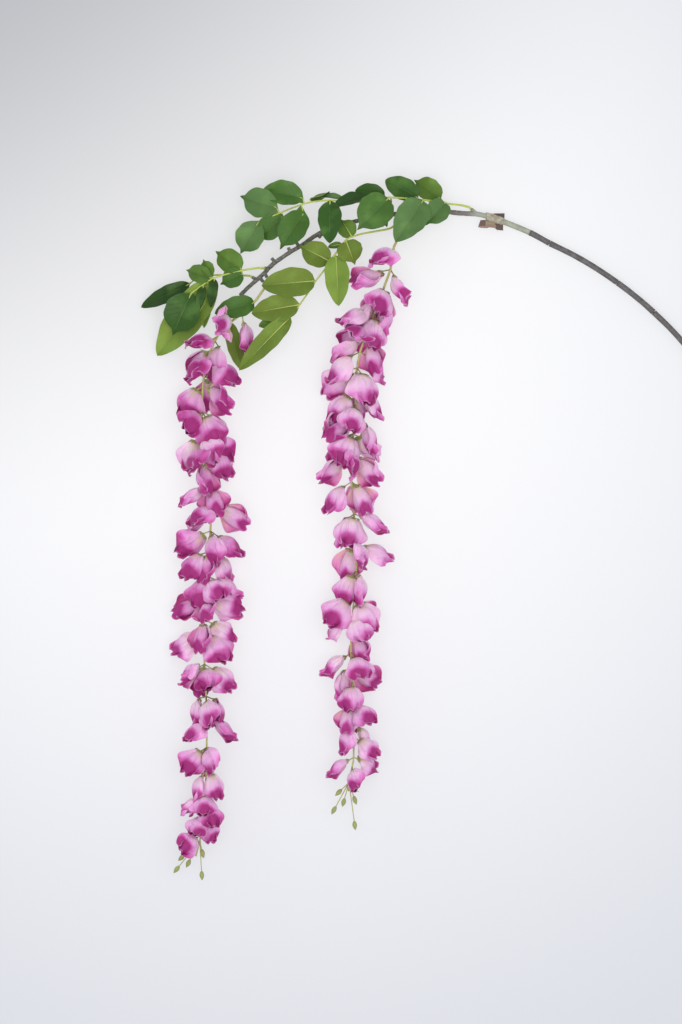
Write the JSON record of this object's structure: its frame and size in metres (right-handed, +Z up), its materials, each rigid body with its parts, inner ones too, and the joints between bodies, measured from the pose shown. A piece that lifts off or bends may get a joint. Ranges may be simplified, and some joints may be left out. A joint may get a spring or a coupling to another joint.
{
  "type": "artificial wisteria spray",
  "caption": "Artificial wisteria spray: a coated wire stem with a leafy branch and two long flower racemes, lying flat.",
  "frame": {"origin": "on the surface that the spray lies on, under the middle of its box", "axes": "+X towards the side where the stem is cut, -Y along the racemes towards their tips, +Z up from the surface"},
  "size_m": [0.6476, 0.7044, 0.0665],
  "materials": {
    "wire": "satin",
    "coat_pale": "satin",
    "coat_dark": "satin",
    "bark": "matte",
    "tape": "matte",
    "leaf_dark": "satin",
    "leaf_pale": "matte",
    "petal": "matte"
  },
  "bodies": {
    "root": {"stem_core_wire": "wire", "stem_coat_pale": "coat_pale", "stem_coat_dark_1": "coat_dark", "stem_coat_dark_2": "coat_dark", "stem_coat_dark_3": "coat_dark", "stem_coat_dark_4": "coat_dark", "branch": "bark", "binding_tape": "tape", "leaf_spray_upper": "leaf_dark", "leaf_spray_lower": "leaf_pale", "leaf_spray_left": "leaf_dark", "leaf_spray_side": "leaf_dark", "raceme_left": "petal", "raceme_right": "petal"}
  },
  "joints": []
}
